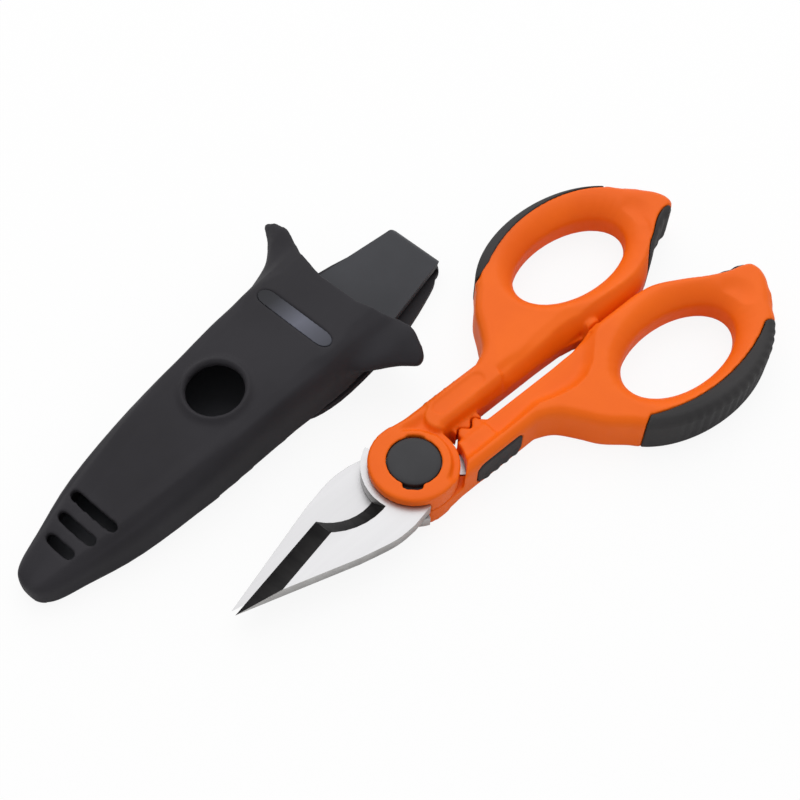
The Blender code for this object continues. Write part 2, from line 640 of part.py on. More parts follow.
def sheath_shell(parent):
    """The front of the sheath: a tapering shell with a thumb hole, drain slots, a label recess and ears."""
    shell = sheath_loft("sheath_shell", 0.0, SHELL_FOOT, 0.0)
    cavity = sheath_loft("sheath_cavity", SHEATH_WALL, SHELL_FOOT - SEAT_GAP, SHEATH_WALL)
    boolean(shell, cavity, "DIFFERENCE")
    above = SHEATH_HEIGHT + HALF_HEIGHT
    hole = round_bar("thumb_hole", THUMB_HOLE_RADIUS, SHEATH_HEIGHT / 2, above, place=(THUMB_HOLE_X, 0.0))
    boolean(shell, hole, "DIFFERENCE")
    for number in range(3):
        place = DRAIN_SLOT_FIRST_X + number * DRAIN_SLOT_PITCH
        half_width, height = at_station(place)
        outline = slot_outline(place, half_width - DRAIN_SLOT_MARGIN, DRAIN_SLOT_WIDTH)
        slot = outline_solid("drain_slot", [outline], (SHELL_FOOT + height) / 2, above)
        boolean(shell, slot, "DIFFERENCE")
    floor = at_station(LABEL_X)[1] - LABEL_RECESS
    outline = slot_outline(LABEL_X, LABEL_LENGTH / 2, LABEL_WIDTH)
    recess = outline_solid("label_recess", [outline], floor, above)
    boolean(shell, recess, "DIFFERENCE")
    finish(shell, "sheath_shell", parent, CHARCOAL)
    label_foot = floor + FIT_GAP
    label = outline_solid("label_inlay", [outline], label_foot, label_foot + LABEL_THICKNESS, grow=-FIT_GAP)
    finish(label, "label_inlay", parent, GREY)


def mirrored(line):
    """A closed outline from one that runs along the +Y side of the sheath's axis."""
    return line + [(x, -y) for x, y in reversed(line) if y > 0.0]


def standing(name, outline, half_width):
    """An outline in the sheath's side view, as wide as the strap."""
    plate = outline_solid(name, [outline], -half_width, half_width)
    plate.data.transform(Matrix.Rotation(math.pi / 2, 4, "X"))
    return plate


def sheath_back(parent):
    """The back plate, running on past the mouth as the strap and half round the clip's bend."""
    side = [(along, half_width) for along, half_width, height, ear in sheath_stations()]
    side += [(SHEATH_LENGTH, STRAP_ROOT_HALF_WIDTH), (BEND_X, STRAP_END_HALF_WIDTH)]
    back = outline_solid("sheath_back", [mirrored(side)], 0.0, BACK_THICKNESS)
    centre = (BEND_X, -BEND_INNER)
    bend = [(BEND_X - SEAT_GAP, 0.0), (BEND_X - SEAT_GAP, BACK_THICKNESS)]
    bend += arc(centre, (BEND_OUTER, BEND_OUTER), math.pi / 2, 0.0, 8)
    bend += arc(centre, (BEND_INNER, BEND_INNER), 0.0, math.pi / 2, 6)
    boolean(back, standing("strap_bend", bend, STRAP_END_HALF_WIDTH), "UNION")
    finish(back, "sheath_back", parent, CHARCOAL)


def clip_leg(parent):
    """The clip's springy rear leg: it lies on the table and carries the mouth end of the sheath."""
    centre = (BEND_X, -BEND_INNER)
    start = -math.asin(SEAT_GAP / BEND_INNER)
    far_x = BEND_X - CLIP_LEG_LENGTH
    foot = -CLIP_BEND_GAP - BACK_THICKNESS
    rise = CLIP_LEG_LENGTH * math.tan(SHEATH_PITCH)
    side = arc(centre, (BEND_OUTER, BEND_OUTER), start / 2, -math.pi / 2, 8)
    side += [(far_x, foot + rise), (far_x, foot + rise + BACK_THICKNESS)]
    side += arc(centre, (BEND_INNER, BEND_INNER), -math.pi / 2, start, 6)
    leg = standing("clip_leg", side, CLIP_LEG_HALF_WIDTH)
    wide = CLIP_LEG_HALF_WIDTH
    end = STRAP_END_HALF_WIDTH
    shares = ((0.0, 0.02), (0.08, 0.30), (0.36, 0.81), (0.72, 1.0), (0.92, 0.80), (1.0, 0.35))
    plan = [(BEND_X + BEND_OUTER, end)]
    reach = CLIP_LEG_LENGTH + SEAT_GAP
    plan += smooth([(BEND_X - reach * back, end + (wide - end) * out) for back, out in shares])
    trim = outline_solid("clip_leg_plan", [mirrored(plan)], 2 * foot, SHEATH_HEIGHT)
    boolean(leg, trim, "INTERSECT")
    hinge = Vector((BEND_X + BEND_OUTER, 0.0, -BEND_INNER))
    parent.location = hinge
    leg.location = -hinge
    finish(leg, "clip_leg", parent, CHARCOAL)


for old in list(bpy.data.objects):
    bpy.data.objects.remove(old)
PARTS = collection("electrician_scissors")
WORKSHOP = collection("cutters")
STEEL = material("satin_steel", (0.72, 0.72, 0.74), 0.28, 1.0)
ORANGE = material("orange_nylon", (0.90, 0.16, 0.02), 0.42)
RUBBER = material("charcoal_rubber", (0.035, 0.035, 0.038), 0.72)
BLACK = material("black_nylon", (0.03, 0.03, 0.035), 0.5)
CHARCOAL = material("charcoal_nylon", (0.045, 0.043, 0.048), 0.6)
GREY = material("grey_label", (0.08, 0.08, 0.10), 0.35)

UPPER_HALF = empty("upper_half")
half("upper", 1, True, UPPER_HALF)
pivot(UPPER_HALF)
LOWER_HALF = empty("lower_half")
half("lower", -1, False, LOWER_HALF)
LOWER_HALF.location = (0.0, 0.0, FULL_HEIGHT)
LOWER_HALF.rotation_euler = (math.pi, 0.0, 0.0)

SHEATH = empty("sheath")
sheath_shell(SHEATH)
sheath_back(SHEATH)
clip_leg(empty("clip_hinge", SHEATH))
SHEATH.location = (SHEATH_TIP_X, SHEATH_TIP_Y, 0.0)
SHEATH.rotation_euler = (0.0, -SHEATH_PITCH, SHEATH_YAW)
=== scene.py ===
import math

import bmesh
import bpy
from mathutils import Matrix, Vector
from mathutils.kdtree import KDTree


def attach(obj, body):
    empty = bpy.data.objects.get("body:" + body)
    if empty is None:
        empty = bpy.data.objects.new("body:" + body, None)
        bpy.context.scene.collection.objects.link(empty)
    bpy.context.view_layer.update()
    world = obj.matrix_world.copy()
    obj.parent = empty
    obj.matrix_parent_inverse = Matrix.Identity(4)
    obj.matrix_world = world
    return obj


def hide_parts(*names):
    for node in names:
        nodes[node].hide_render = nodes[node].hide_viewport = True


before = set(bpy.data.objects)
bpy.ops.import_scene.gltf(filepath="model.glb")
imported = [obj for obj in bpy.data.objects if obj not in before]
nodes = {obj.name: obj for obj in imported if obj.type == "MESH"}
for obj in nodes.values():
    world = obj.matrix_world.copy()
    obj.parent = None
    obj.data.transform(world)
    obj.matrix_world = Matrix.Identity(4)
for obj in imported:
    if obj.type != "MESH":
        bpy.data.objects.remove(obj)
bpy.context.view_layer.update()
mm = 0.001
print("frame loaded,", len(nodes), "CAD solids")


def addObject(name, data):
    made = bpy.data.objects.new(name, data)
    bpy.context.scene.collection.objects.link(made)
    return made


def meshFrom(shape, name):
    mesh = bpy.data.meshes.new(name)
    shape.to_mesh(mesh)
    shape.free()
    return mesh


def addNode(tree, kind, **values):
    made = tree.nodes.new(kind)
    for key, value in values.items():
        setattr(made, key, value)
    return made


# camera, floor and light
shot = {
    "place": (-0.1233, -0.1193, 0.2974),
    "looks": (0.3863, 0.3911, -0.8354),
    "roll": math.radians(2.70),
    "lens": 65.34,
    "sensor": 36.0,
    "nearest": 0.01,
}

forward = Vector(shot["looks"]).normalized()
level = forward.cross(Vector((0, 0, 1))).normalized()
upright = level.cross(forward)
right = level * math.cos(shot["roll"]) + upright * math.sin(shot["roll"])
up = upright * math.cos(shot["roll"]) - level * math.sin(shot["roll"])
cameraData = bpy.data.cameras.new("photoCamera")
cameraData.lens = shot["lens"]
cameraData.sensor_width = shot["sensor"]
cameraData.clip_start = shot["nearest"]
camera = addObject("photoCamera", cameraData)
turned = Matrix((right, up, -forward)).transposed().to_4x4()
camera.matrix_world = Matrix.Translation(shot["place"]) @ turned
bpy.context.scene.camera = camera
bpy.context.scene.view_settings.view_transform = "Standard"

studio = {
    "floorSize": 6.0,
    "floorParts": 4,
    "floorDrop": 0.05 * mm,
    "floorTone": 0.92,
    "floorRough": 0.9,
    "whiteLevel": 1.0,         # what the camera sees directly behind the object
    "whiteShare": 0.90,        # how much of the floor is plain white, the rest shows the shadow
    "skyNear": 0.55,           # the sky is dimmer in front of the object than behind it
    "skyFar": 0.78,
    "boxPlace": (0.47, 0.47, 1.0),
    "boxSize": (1.5, 1.5),
    "boxPower": 8.6,
}

floorShape = bmesh.new()
bmesh.ops.create_grid(floorShape, x_segments=studio["floorParts"], y_segments=studio["floorParts"],
                      size=studio["floorSize"] / 2)
floor = addObject("whiteTable", meshFrom(floorShape, "whiteTable"))
floor.location.z = -studio["floorDrop"]
tablePaint = bpy.data.materials.new("whiteTablePaint")
tablePaint.use_nodes = True
tree = tablePaint.node_tree
tone = studio["floorTone"]
matt = tree.nodes["Principled BSDF"]
matt.inputs["Base Color"].default_value = (tone, tone, tone, 1)
matt.inputs["Roughness"].default_value = studio["floorRough"]
matt.inputs["Specular IOR Level"].default_value = 0.0
glow = addNode(tree, "ShaderNodeEmission")
glow.inputs["Strength"].default_value = studio["whiteLevel"]
share = addNode(tree, "ShaderNodeMath", operation="MULTIPLY")
share.inputs[1].default_value = studio["whiteShare"]
rays = addNode(tree, "ShaderNodeLightPath")
tree.links.new(rays.outputs["Is Camera Ray"], share.inputs[0])
blendShader = addNode(tree, "ShaderNodeMixShader")
tree.links.new(share.outputs[0], blendShader.inputs[0])
tree.links.new(matt.outputs[0], blendShader.inputs[1])
tree.links.new(glow.outputs[0], blendShader.inputs[2])
tree.links.new(blendShader.outputs[0], tree.nodes["Material Output"].inputs["Surface"])
floor.data.materials.append(tablePaint)

world = bpy.data.worlds.new("studioWorld")
bpy.context.scene.world = world
world.use_nodes = True
tree = world.node_tree
sky = tree.nodes["Background"]
sky.inputs["Color"].default_value = (1, 1, 1, 1)
heading = addNode(tree, "ShaderNodeTexCoord")
parts = addNode(tree, "ShaderNodeSeparateXYZ")
fade = addNode(tree, "ShaderNodeMapRange")
fade.inputs["From Min"].default_value = -1.0
fade.inputs["To Min"].default_value = studio["skyNear"]
fade.inputs["To Max"].default_value = studio["skyFar"]
tree.links.new(heading.outputs["Generated"], parts.inputs[0])
tree.links.new(parts.outputs["Y"], fade.inputs["Value"])
tree.links.new(fade.outputs["Result"], sky.inputs["Strength"])
white = addNode(tree, "ShaderNodeBackground")
white.inputs["Color"].default_value = (1, 1, 1, 1)
white.inputs["Strength"].default_value = studio["whiteLevel"]
blendShader = addNode(tree, "ShaderNodeMixShader")
rays = addNode(tree, "ShaderNodeLightPath")
tree.links.new(rays.outputs["Is Camera Ray"], blendShader.inputs[0])
tree.links.new(sky.outputs[0], blendShader.inputs[1])
tree.links.new(white.outputs[0], blendShader.inputs[2])
tree.links.new(blendShader.outputs[0], tree.nodes["World Output"].inputs["Surface"])

boxData = bpy.data.lights.new("softBox", "AREA")
boxData.shape = "RECTANGLE"
boxData.size, boxData.size_y = studio["boxSize"]
boxData.energy = studio["boxPower"]
softBox = addObject("softBox", boxData)
softBox.location = studio["boxPlace"]
softBox.rotation_mode = "QUATERNION"
softBox.rotation_quaternion = (-Vector(studio["boxPlace"])).to_track_quat("-Z", "Y")
print("camera, floor and light set")


# finishes
mixing = {"toneDetail": 4.0, "grainDetail": 3.0, "darkAt": 0.35, "lightAt": 0.65}


def newFinish(name, look):
    made = bpy.data.materials.new(name)
    made.use_nodes = True
    tree = made.node_tree
    shader = tree.nodes["Principled BSDF"]
    coords = addNode(tree, "ShaderNodeTexCoord")
    stretch = addNode(tree, "ShaderNodeMapping")
    stretch.inputs["Scale"].default_value = look.get("stretch", (1, 1, 1))
    tree.links.new(coords.outputs["Object"], stretch.inputs["Vector"])
    drift = addNode(tree, "ShaderNodeTexNoise")     # slow drift of the colour
    drift.inputs["Scale"].default_value = look["toneScale"]
    drift.inputs["Detail"].default_value = mixing["toneDetail"]
    grain = addNode(tree, "ShaderNodeTexNoise")     # fine surface texture
    grain.inputs["Scale"].default_value = look["grainScale"]
    grain.inputs["Detail"].default_value = mixing["grainDetail"]
    for noiseNode in (drift, grain):
        tree.links.new(stretch.outputs["Vector"], noiseNode.inputs["Vector"])
    ramp = addNode(tree, "ShaderNodeValToRGB")
    ramp.color_ramp.elements[0].position = mixing["darkAt"]
    ramp.color_ramp.elements[0].color = (*look["dark"], 1)
    ramp.color_ramp.elements[1].position = mixing["lightAt"]
    ramp.color_ramp.elements[1].color = (*look["light"], 1)
    tree.links.new(drift.outputs["Fac"], ramp.inputs["Fac"])
    tree.links.new(ramp.outputs["Color"], shader.inputs["Base Color"])
    polish = addNode(tree, "ShaderNodeMapRange")
    polish.inputs["To Min"].default_value = look["rough"][0]
    polish.inputs["To Max"].default_value = look["rough"][1]
    tree.links.new(grain.outputs["Fac"], polish.inputs["Value"])
    tree.links.new(polish.outputs["Result"], shader.inputs["Roughness"])
    bump = addNode(tree, "ShaderNodeBump")
    bump.inputs["Strength"].default_value = look["bump"]
    bump.inputs["Distance"].default_value = look["grainDepth"]
    tree.links.new(grain.outputs["Fac"], bump.inputs["Height"])
    tree.links.new(bump.outputs["Normal"], shader.inputs["Normal"])
    shader.inputs["Metallic"].default_value = look.get("metal", 0.0)
    shader.inputs["Specular IOR Level"].default_value = look.get("gloss", 0.5)
    return made


finishes = {
    "orangeNylon": {
        "dark": (0.84, 0.122, 0.0015), "light": (0.90, 0.142, 0.0025), "toneScale": 45,
        "rough": (0.40, 0.52), "grainScale": 2400, "grainDepth": 0.02 * mm, "bump": 0.25, "gloss": 0.20},
    "charcoalRubber": {
        "dark": (0.027, 0.026, 0.027), "light": (0.036, 0.034, 0.035), "toneScale": 60,
        "rough": (0.62, 0.80), "grainScale": 2600, "grainDepth": 0.04 * mm, "bump": 0.4, "gloss": 0.30},
    "charcoalNylon": {
        "dark": (0.027, 0.0255, 0.029), "light": (0.033, 0.0315, 0.036), "toneScale": 40,
        "rough": (0.50, 0.62), "grainScale": 3200, "grainDepth": 0.03 * mm, "bump": 0.3, "gloss": 0.10},
    # the strap is the shell's charcoal nylon, made smoother, with its colour lifted as a painted sheen
    "strapNylonPaintedSheen": {
        "dark": (0.040, 0.041, 0.046), "light": (0.050, 0.051, 0.058), "toneScale": 40,
        "rough": (0.42, 0.54), "grainScale": 3200, "grainDepth": 0.02 * mm, "bump": 0.3, "gloss": 0.15},
    "blackNylon": {
        "dark": (0.022, 0.022, 0.025), "light": (0.029, 0.029, 0.033), "toneScale": 90,
        "rough": (0.42, 0.55), "grainScale": 2600, "grainDepth": 0.02 * mm, "bump": 0.3, "gloss": 0.3},
    "greyLabel": {
        "dark": (0.112, 0.117, 0.152), "light": (0.130, 0.135, 0.172), "toneScale": 60,
        "rough": (0.34, 0.42), "grainScale": 1500, "grainDepth": 0.006 * mm, "bump": 0.1, "gloss": 0.2},
    "satinSteel": {
        "dark": (0.43, 0.427, 0.435), "light": (0.49, 0.487, 0.495), "toneScale": 14,
        "rough": (0.32, 0.40), "grainScale": 320, "grainDepth": 0.008 * mm, "bump": 0.12,
        "metal": 1.0, "stretch": (0.22, 6, 1)},
    # the ground bevel's steel is painted near black: a painted dark reflection, not a darker steel
    "groundBevelPaintedDark": {
        "dark": (0.043, 0.042, 0.043), "light": (0.062, 0.060, 0.060), "toneScale": 60,
        "rough": (0.28, 0.38), "grainScale": 420, "grainDepth": 0.006 * mm, "bump": 0.15,
        "metal": 1.0, "stretch": (5, 0.4, 1)},
    "sawnSteel": {
        "dark": (0.42, 0.41, 0.40), "light": (0.60, 0.59, 0.58), "toneScale": 70,
        "rough": (0.34, 0.46), "grainScale": 700, "grainDepth": 0.02 * mm, "bump": 0.3,
        "metal": 1.0, "stretch": (1, 1, 0.2)},
}
paint = {name: newFinish(name, look) for name, look in finishes.items()}

# painted highlight and shade on the label place: its colour is made bright in its middle and darker towards
# its ends, most towards the far one
paintedLabelSheen = {"from": 33.4 * mm, "to": 56.9 * mm,
         "stops": ((0.0, 0.40), (0.2, 0.62), (0.42, 1.0), (0.62, 0.48), (0.8, 0.15), (1.0, 0.09))}
tree = paint["greyLabel"].node_tree
heading = addNode(tree, "ShaderNodeTexCoord")
parts = addNode(tree, "ShaderNodeSeparateXYZ")
across = addNode(tree, "ShaderNodeMapRange")
across.inputs["From Min"].default_value = paintedLabelSheen["from"]
across.inputs["From Max"].default_value = paintedLabelSheen["to"]
paintedSheenRamp = addNode(tree, "ShaderNodeValToRGB")
while len(paintedSheenRamp.color_ramp.elements) < len(paintedLabelSheen["stops"]):
    paintedSheenRamp.color_ramp.elements.new(0.5)              # each goes to its own place below
for stop, (position, tone) in zip(paintedSheenRamp.color_ramp.elements, paintedLabelSheen["stops"]):
    stop.position = position
    stop.color = (tone, tone, tone, 1)
# the label's own grey is multiplied by the painted highlight and shade
paintedLightMix = addNode(tree, "ShaderNodeMix", data_type="RGBA", blend_type="MULTIPLY")
paintedLightMix.inputs["Factor"].default_value = 1.0
shader = tree.nodes["Principled BSDF"]
tree.links.new(heading.outputs["Object"], parts.inputs[0])
tree.links.new(parts.outputs["Y"], across.inputs["Value"])
tree.links.new(across.outputs["Result"], paintedSheenRamp.inputs["Fac"])
tree.links.new(shader.inputs["Base Color"].links[0].from_socket, paintedLightMix.inputs["A"])
tree.links.new(paintedSheenRamp.outputs["Color"], paintedLightMix.inputs["B"])
tree.links.new(paintedLightMix.outputs["Result"], shader.inputs["Base Color"])
print(len(paint), "finishes mixed")


# mesh helpers; shapes are worked out in millimetres
meshing = {"weld": 0.002, "softFactor": 0.5, "evenOut": 1, "lineGap": 0.2, "lineSteps": 6}


def copyNode(node, name):
    mesh = nodes[node].data.copy()
    if "custom_normal" in mesh.attributes:
        mesh.attributes.remove(mesh.attributes["custom_normal"])
    shape = bmesh.new()
    shape.from_mesh(mesh)
    bmesh.ops.remove_doubles(shape, verts=shape.verts, dist=meshing["weld"] * mm)
    shape.to_mesh(mesh)
    shape.free()
    mesh.materials.clear()
    return addObject(name, mesh)


def applyModifiers(piece):
    bpy.context.view_layer.update()
    graph = bpy.context.evaluated_depsgraph_get()
    mesh = bpy.data.meshes.new_from_object(piece.evaluated_get(graph))
    piece.modifiers.clear()
    piece.data = mesh
    return piece


def remesh(piece, voxel):
    step = piece.modifiers.new("voxels", "REMESH")
    step.mode = "VOXEL"
    step.voxel_size = voxel * mm
    return applyModifiers(piece)


# softens the whole piece, or more here and less there by a weight from 0 to 1
def soften(piece, turns, weightAt=None):
    step = piece.modifiers.new("soft", "SMOOTH")
    step.factor = meshing["softFactor"]
    step.iterations = turns
    if weightAt:
        group = piece.vertex_groups.new(name="softness")
        for vertex in piece.data.vertices:
            group.add([vertex.index], weightAt(vertex.co / mm), "REPLACE")
        step.vertex_group = group.name
    applyModifiers(piece)
    piece.vertex_groups.clear()
    return piece


def thin(piece, keep):
    step = piece.modifiers.new("thin", "DECIMATE")
    step.ratio = keep
    return applyModifiers(piece)


def breakEdges(piece, width, segments, sharp):
    step = piece.modifiers.new("edges", "BEVEL")
    step.width = width
    step.segments = segments
    step.angle_limit = sharp
    return applyModifiers(piece)


def sculpt(piece, move):
    for vertex in piece.data.vertices:
        vertex.co = move(vertex.co / mm) * mm
    piece.data.update()
    return piece


def place(piece, body, node, finish):
    if not piece.data.materials:
        piece.data.materials.append(paint[finish])
    piece.data.shade_smooth()
    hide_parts(node)
    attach(piece, body)
    return piece


def ease(value, start, end):
    t = min(max((value - start) / (end - start), 0.0), 1.0)
    return t * t * (3 - 2 * t)


# a quarter round: 0 at the edge, 1 from one reach inwards
def rollOver(share):
    return math.sqrt(max(0.0, 1 - (1 - min(max(share, 0.0), 1.0)) ** 2))


# a rolled edge that meets the flat at a slight crease
def creasedRoll(share):
    return 0.5 * min(share, 1.0) + 0.5 * rollOver(share)


def along(line, x):
    if x <= line[0][0]:
        return line[0][1]
    for (x0, y0), (x1, y1) in zip(line, line[1:]):
        if x <= x1:
            return y0 + (y1 - y0) * (x - x0) / (x1 - x0)
    return line[-1][1]


# the place at t between q and r on a smooth curve through four values
def between(p, q, r, s, t):
    bend = 2 * q + (r - p) * t + (2 * p - 5 * q + 4 * r - s) * t ** 2
    return 0.5 * (bend + (3 * q - p - 3 * r + s) * t ** 3)


def spline(points):
    line = []
    guide = [points[0], *points, points[-1]]
    for corners in zip(guide, guide[1:], guide[2:], guide[3:]):
        for step in range(meshing["lineSteps"]):
            t = step / meshing["lineSteps"]
            line.append(tuple(between(*values, t) for values in zip(*corners)))
    return line + [points[-1]]


# how far a point of the plan lies from a line, from points set close along it
def distanceTo(line):
    points = []
    for start, end in zip(line, line[1:]):
        count = max(1, math.ceil(math.dist(start, end) / meshing["lineGap"]))
        points += [tuple(a + (b - a) * n / count for a, b in zip(start, end)) for n in range(count)]
    tree = KDTree(len(points))
    for number, point in enumerate(points):
        tree.insert((*point, 0), number)
    tree.balance()
    return lambda x, y: tree.find((x, y, 0))[2]


# handles: the plan of the upper one; the lower is the same design turned over about the mid-plane
plan = {
    "loop": (71.4, 18.6), "hole": (17.9, 10.1), "rim": (28.5, 19.0), "rimArc": (18, 155), "rimSteps": 30,
    "loopFrom": 45, "shankEnd": 30.0, "shankOuter": 10.7, "shankInner": 1.75, "hub": 10.8,
    "hook": (105.0, 15.0), "shoulder": 1.5,
    # shares of the way from the shank to the rim outside, and from the shank to the hook inside
    "flare": ((0.70, 0.72), (0.50, 0.42), (0.28, 0.14), (0.0, 0.0)),
    "sweep": ((0, 0), (0.17, 0.05), (0.30, 0.16), (0.45, 0.34), (0.61, 0.56), (0.76, 0.72), (0.93, 0.83),
              (1, 1)),
    "sweepFrom": 0.15, "meet": (58.0, 0.3), "meetRun": 4,
    "half": 6.0, "holeHalf": 1.8, "spreadTurns": 5, "spreadLeast": -4.0, "spreadAway": 9.0,
    "cadFlare": 6.0, "cadLedge": (20.8, 61.0, 3.3),         # the funnel and the ledge that the solids have
}
loopX, loopY = plan["loop"]
hookX, hookY = plan["hook"]
meetX, meetY = plan["meet"]
half = plan["half"]


def outerEdge():
    rim = []
    first, last = plan["rimArc"]
    for step in range(plan["rimSteps"] + 1):
        angle = math.radians(first + (last - first) * step / plan["rimSteps"])
        rim.append((loopX + plan["rim"][0] * math.cos(angle), loopY + plan["rim"][1] * math.sin(angle)))
    shoulder = ((hookX + rim[0][0]) / 2 + plan["shoulder"], (hookY + rim[0][1]) / 2)
    run, rise = rim[-1][0] - plan["shankEnd"], rim[-1][1] - plan["shankOuter"]
    flare = [(plan["shankEnd"] + run * a, plan["shankOuter"] + rise * b) for a, b in plan["flare"]]
    return spline([plan["hook"], shoulder] + rim + flare) + [(0.0, plan["shankOuter"])]


def innerEdge():
    inner = plan["shankInner"]
    meeting = [(meetX - plan["meetRun"] * inner, inner), (meetX - inner, inner / 2), plan["meet"]]
    start = loopX + plan["hole"][0] * plan["sweepFrom"]
    sweep = [(start + (hookX - start) * a, meetY + (hookY - meetY) * b) for a, b in plan["sweep"]]
    return [(0.0, inner)] + spline(meeting) + spline(sweep)


outerGap = distanceTo(outerEdge())
innerGap = distanceTo(innerEdge())


# how far a point lies outside the finger hole, on ovals that widen evenly
def holeSpread(x, y):
    spread = 0.0
    for turn in range(plan["spreadTurns"]):
        a, b = plan["hole"][0] + spread, plan["hole"][1] + spread
        p, q = ((x - loopX) / a) ** 2, ((y - loopY) / b) ** 2
        slope = -2 * (p / a + q / b)
        if slope > -0.001:          # too near the middle to tell
            break
        spread = max(spread - (p + q - 1) / slope, plan["spreadLeast"])
    return spread


# pairs without a note say where a form begins and where it is full, or where it has faded out
face = {
    # width of the funnel round the hole, by the direction from its middle in degrees
    "funnel": ((0, 7.0), (90, 6.4), (135, 5.8), (180, 4.4), (225, 4.4), (270, 5.2), (315, 6.6), (360, 7.0)),
    "funnelRound": 0.6, "funnelSlope": 0.4, "funnelPower": 1.4,
    "dish": (92.0, 17.6, 7.5, 6.5, 1.1), "dishFade": (0.3, 1.0),      # thumb rest: middle, radii and depth
    "ring": (8.4, 9.2, 1.5),               # edge of the hub's ring and the step down to the shank
    "hubRoll": (1.3, 0.5), "hubRollEnd": (2.0, 6.0), "hubClear": 1.5,
    # raised pad on the shank
    "nose": (12.6, 5.1, 3.6), "padFrom": (1.5, 5.0), "padEnd": (31.5, 34.0), "padFoot": 2.0,
    "padEdge": (-0.6, 0.3), "padOuter": (6.5, 9.5), "padOuterShare": 0.8,
    "padStep": (32.2, 3.8, 0.77, 1.0),     # slanting end of the pad and the step down behind it
    "stepEdge": (-0.3, 0.5), "stepEnd": (35, 46), "stepOuter": (4.2, 7.0),
    # shallow bare label place on the pad: middle, half sizes and depth
    "padLabel": (20.5, 6.7, 8.0, 1.9, 0.4), "padLabelEdge": (0.85, 1.1),
    # how far the inner edge rolls inwards and down, along the handle; the outer one is the same all along
    "frontReach": ((9, 1.6), (12, 2.3), (40, 2.3), (48, 2.6), (56, 3.8), (66, 3.8), (78, 3.2), (94, 1.4)),
    "frontDrop": ((9, 0.4), (12, 1.7), (22, 1.7), (24, 2.8), (40, 3.2), (48, 4.4), (57, 5.7),
                  (76, 5.2), (86, 2.2), (94, 0.5)),
    "backReach": ((9, 1.0), (50, 1.4), (60, 2.4), (85, 2.4), (95, 1.4)),
    "backDrop": ((9, 0.3), (50, 0.6), (60, 1.1), (85, 1.0), (95, 0.5)),
    "outerRoll": (2.2, 1.0),
    "crease": ((33, 3.4), (40, 5.6), (45, 7.0), (57, 7.6), (66, 6.0)), "creaseSlope": 0.28,
    "creaseFrom": (33, 36), "loopFade": (58, 66),
    "stop": (61.0, 0.3, 2.1, 2.1, 4.1), "stopDome": 0.8,    # stop nub where the handles meet
    # hollow ledge on the back, inside this line
    "valley": ((8, 8.1), (33, 8.1), (38, 9.6), (43, 10.5), (47, 10.1), (51, 8.4), (54.5, 5.6), (57.5, 3.1),
               (61, 1.4), (66, 0.3)),
    "valleyDepth": ((8, 2.2), (11, 2.0), (13.6, 2.4), (14.4, 2.2), (20.2, 2.2), (20.9, 2.9), (30, 2.9),
                    (43, 2.9), (50, 2.4), (56, 1.7), (62, 0.9)),
    "valleyRun": (2.2, 3.6), "valleyWiden": (22, 36), "ledgeMargin": (0.8, 2.2), "ledgeWiden": (34, 40),
    # the farther slot in the hub is only a sliver
    "slot": (math.radians(45), 6.45, 7.6, 9.6, 0.35), "slotFade": (math.radians(24), math.radians(34)),
    "slotAbove": 3.5,
    "voxel": 0.33, "soft": 4, "keep": 0.42,
}
valleyGap = distanceTo(face["valley"])


def funnelFace(x, y, spread):
    if x < plan["loopFrom"]:
        return half
    width = along(face["funnel"], math.degrees(math.atan2(y - loopY, x - loopX)) % 360)
    share = min(max(spread / width, 0.0), 1.0)
    cone = 1 - (1 - share) ** face["funnelPower"]
    bowl = face["funnelRound"] * rollOver(share) + face["funnelSlope"] * cone
    top = plan["holeHalf"] + (half - plan["holeHalf"]) * bowl
    dishX, dishY, long, wide, depth = face["dish"]
    apart = math.hypot((x - dishX) / long, (y - dishY) / wide)
    return min(top, half - depth * (1 - ease(apart, *face["dishFade"])))


def edgeRolls(x, y, reachLine, dropLine):
    away = ease(math.hypot(x, y), plan["hub"], plan["hub"] + face["hubClear"])
    reach, drop = face["outerRoll"]
    lower = drop * (1 - creasedRoll(outerGap(x, y) / reach))
    inside = innerGap(x, y) if x > meetX or y > plan["shankInner"] else 0.0
    lower += along(dropLine, x) * (1 - creasedRoll(inside / along(reachLine, x)))
    return lower * away


# height of the front over the mid-plane: hub ring, raised pad on the shank, flat flare, rolled inner edge
def frontFace(x, y, spread):
    radius = math.hypot(x, y)
    top = funnelFace(x, y, spread) - edgeRolls(x, y, face["frontReach"], face["frontDrop"])
    noseX, noseY, noseRadius = face["nose"]
    ringIn, ringOut, step = face["ring"]
    onShank = ease(radius, ringIn, ringOut) * ease(x, *face["padFrom"]) * (1 - ease(x, *face["padEnd"]))
    beyond = math.hypot(x - noseX, y - noseY) - noseRadius if x < noseX else face["padFoot"] - y
    outer = 1 - face["padOuterShare"] * ease(y, *face["padOuter"])
    top -= step * onShank * ease(beyond, *face["padEdge"]) * outer
    reach, drop = face["hubRoll"]
    if radius < plan["hub"]:
        top -= drop * (1 - rollOver((plan["hub"] - radius) / reach)) * (1 - ease(x, *face["hubRollEnd"]))
    slope = face["creaseSlope"] * ease(x, *face["creaseFrom"]) * (1 - ease(x, *face["loopFade"]))
    top -= slope * max(0.0, along(face["crease"], x) - y)
    endX, endY, slant, step = face["padStep"]
    past = x - endX + slant * max(0.0, endY - y)
    behind = ease(past, *face["stepEdge"]) * (1 - ease(x, *face["stepEnd"]))
    top -= step * behind * (1 - ease(y, *face["stepOuter"]))
    labelX, labelY, long, wide, depth = face["padLabel"]
    within = math.hypot(max(abs(x - labelX) - long + wide, 0.0), y - labelY) / wide
    top -= depth * (1 - ease(within, *face["padLabelEdge"]))
    stopX, stopY, long, wide, level = face["stop"]
    apart = math.hypot((x - stopX) / long, (y - stopY) / wide)
    return max(top, level - face["stopDome"] * apart ** 2 if apart < 1 else 0.0)


